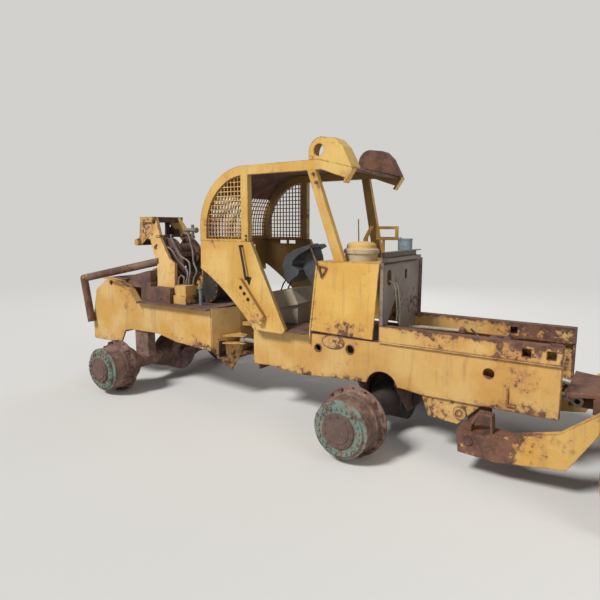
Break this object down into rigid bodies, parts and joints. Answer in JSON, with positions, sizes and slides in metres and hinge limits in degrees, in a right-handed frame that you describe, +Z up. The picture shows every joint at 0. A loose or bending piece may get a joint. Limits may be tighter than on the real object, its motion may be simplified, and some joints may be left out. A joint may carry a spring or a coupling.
{
  "type": "log skidder",
  "caption": "Stripped yellow articulated log skidder on bare hubs, with a canopy cab, open engine bay, front blade and rear arch with winch.",
  "frame": {"origin": "on the floor under the middle of the machine's length and width", "axes": "+X forward, towards the blade; +Y to the machine's left; +Z up"},
  "size_m": [5.6739, 2.12, 2.5168],
  "materials": {
    "yellow_paint": "faded",
    "rusty_steel": "rough",
    "hub_paint": "faded",
    "dark_steel": "worn",
    "grey_paint": "worn",
    "rod_steel": "worn",
    "hose_rubber": "faded"
  },
  "bodies": {
    "front_frame": {"frame_sides": "yellow_paint", "bulkhead": "rusty_steel", "frame_cross": "rusty_steel", "hinge_fork": "rusty_steel", "hangers": "yellow_paint", "front_axle": "dark_steel", "axle_cradle": "rusty_steel", "cab_floor": "rusty_steel", "cab_side_panels": "yellow_paint", "cab_rear_panel": "yellow_paint", "cab_frame": "yellow_paint", "front_pillars": "yellow_paint", "roof": "rusty_steel", "quarter_screens": "yellow_paint", "rear_screen": "yellow_paint", "lamp_hoods": "yellow_paint", "cowl": "yellow_paint", "firewall": "grey_paint", "cowl_bowl": "yellow_paint", "dash_console": "dark_steel", "control_box": "grey_paint", "grab_handles": "dark_steel", "side_step": "yellow_paint", "gear_case": "dark_steel"},
    "rear_frame": {"rear_sides": "yellow_paint", "rear_nose": "yellow_paint", "rear_deck": "rusty_steel", "arch": "yellow_paint", "fairlead": "rusty_steel", "winch_case": "rusty_steel", "deck_gear": "yellow_paint", "arch_hoses": "hose_rubber", "rear_axle": "hub_paint", "butt_plate": "rusty_steel", "guard_bars": "rusty_steel"},
    "winch_drum": {"winch_drum": "rusty_steel"},
    "blade": {"blade_arms": "yellow_paint", "blade": "rusty_steel"},
    "lift_barrel_left": {"lift_barrel_left": "yellow_paint"},
    "lift_rod_left": {"lift_rod_left": "rod_steel"},
    "steer_barrel_left": {"steer_barrel_left": "rusty_steel"},
    "steer_rod_left": {"steer_rod_left": "rod_steel"},
    "hub_front_left": {"hub_front_left": "hub_paint"},
    "hub_rear_left": {"hub_rear_left": "hub_paint"},
    "lift_barrel_right": {"lift_barrel_right": "yellow_paint"},
    "lift_rod_right": {"lift_rod_right": "rod_steel"},
    "steer_barrel_right": {"steer_barrel_right": "rusty_steel"},
    "steer_rod_right": {"steer_rod_right": "rod_steel"},
    "hub_front_right": {"hub_front_right": "hub_paint"},
    "hub_rear_right": {"hub_rear_right": "hub_paint"}
  },
  "joints": [
    {"name": "steering", "type": "hinge", "parent": "front_frame", "child": "rear_frame", "pos_m": [-0.397, 0, 0.643], "axis": [0, 0, 1], "range_deg": [-40, 40]},
    {"name": "blade_lift", "type": "hinge", "parent": "front_frame", "child": "blade", "pos_m": [1.903, 0, 0.275], "axis": [0, -1, 0], "range_deg": [-3, 30]},
    {"name": "winch_turn", "type": "hinge", "parent": "rear_frame", "child": "winch_drum", "pos_m": [-1.677, 0, 1.49], "axis": [0, 1, 0], "continuous": true},
    {"name": "hub_front_left_turn", "type": "hinge", "parent": "front_frame", "child": "hub_front_left", "pos_m": [1.053, 0.9, 0.28], "axis": [0, 1, 0], "continuous": true},
    {"name": "hub_front_right_turn", "type": "hinge", "parent": "front_frame", "child": "hub_front_right", "pos_m": [1.053, -0.9, 0.28], "axis": [0, 1, 0], "continuous": true},
    {"name": "hub_rear_left_turn", "type": "hinge", "parent": "rear_frame", "child": "hub_rear_left", "pos_m": [-1.847, 0.9, 0.28], "axis": [0, 1, 0], "continuous": true},
    {"name": "hub_rear_right_turn", "type": "hinge", "parent": "rear_frame", "child": "hub_rear_right", "pos_m": [-1.847, -0.9, 0.28], "axis": [0, 1, 0], "continuous": true},
    {"name": "steer_barrel_left_swing", "type": "hinge", "parent": "front_frame", "child": "steer_barrel_left", "pos_m": [0.323, 0.33, 0.645], "axis": [0, 0, 1], "range_deg": [-8, 8]},
    {"name": "steer_rod_left_slide", "type": "slide", "parent": "steer_barrel_left", "child": "steer_rod_left", "axis": [-0.9981, -0.0609, 0], "range_m": [-0.2, 0.2]},
    {"name": "lift_barrel_left_swing", "type": "hinge", "parent": "front_frame", "child": "lift_barrel_left", "pos_m": [1.613, 0.19, 0.745], "axis": [0, -1, 0], "range_deg": [-5, 30]},
    {"name": "lift_rod_left_slide", "type": "slide", "parent": "lift_barrel_left", "child": "lift_rod_left", "axis": [0.9802, 0, -0.1982], "range_m": [-0.25, 0.05]},
    {"name": "steer_barrel_right_swing", "type": "hinge", "parent": "front_frame", "child": "steer_barrel_right", "pos_m": [0.323, -0.33, 0.645], "axis": [0, 0, 1], "range_deg": [-8, 8]},
    {"name": "steer_rod_right_slide", "type": "slide", "parent": "steer_barrel_right", "child": "steer_rod_right", "axis": [-0.9981, 0.0609, 0], "range_m": [-0.2, 0.2]},
    {"name": "lift_barrel_right_swing", "type": "hinge", "parent": "front_frame", "child": "lift_barrel_right", "pos_m": [1.613, -0.19, 0.745], "axis": [0, -1, 0], "range_deg": [-5, 30]},
    {"name": "lift_rod_right_slide", "type": "slide", "parent": "lift_barrel_right", "child": "lift_rod_right", "axis": [0.9802, 0, -0.1982], "range_m": [-0.25, 0.05]}
  ],
  "couplings": [
    {"joint": "steer_barrel_left_swing", "follows": "steering", "ratio": 0.08207},
    {"joint": "steer_rod_left_slide", "follows": "steering", "m_per_rad": 0.27463},
    {"joint": "lift_barrel_left_swing", "follows": "blade_lift", "ratio": 0.61799},
    {"joint": "lift_rod_left_slide", "follows": "blade_lift", "m_per_rad": -0.44456},
    {"joint": "steer_barrel_right_swing", "follows": "steering", "ratio": 0.08207},
    {"joint": "steer_rod_right_slide", "follows": "steering", "m_per_rad": -0.27463},
    {"joint": "lift_barrel_right_swing", "follows": "blade_lift", "ratio": 0.61799},
    {"joint": "lift_rod_right_slide", "follows": "blade_lift", "m_per_rad": -0.44456}
  ]
}
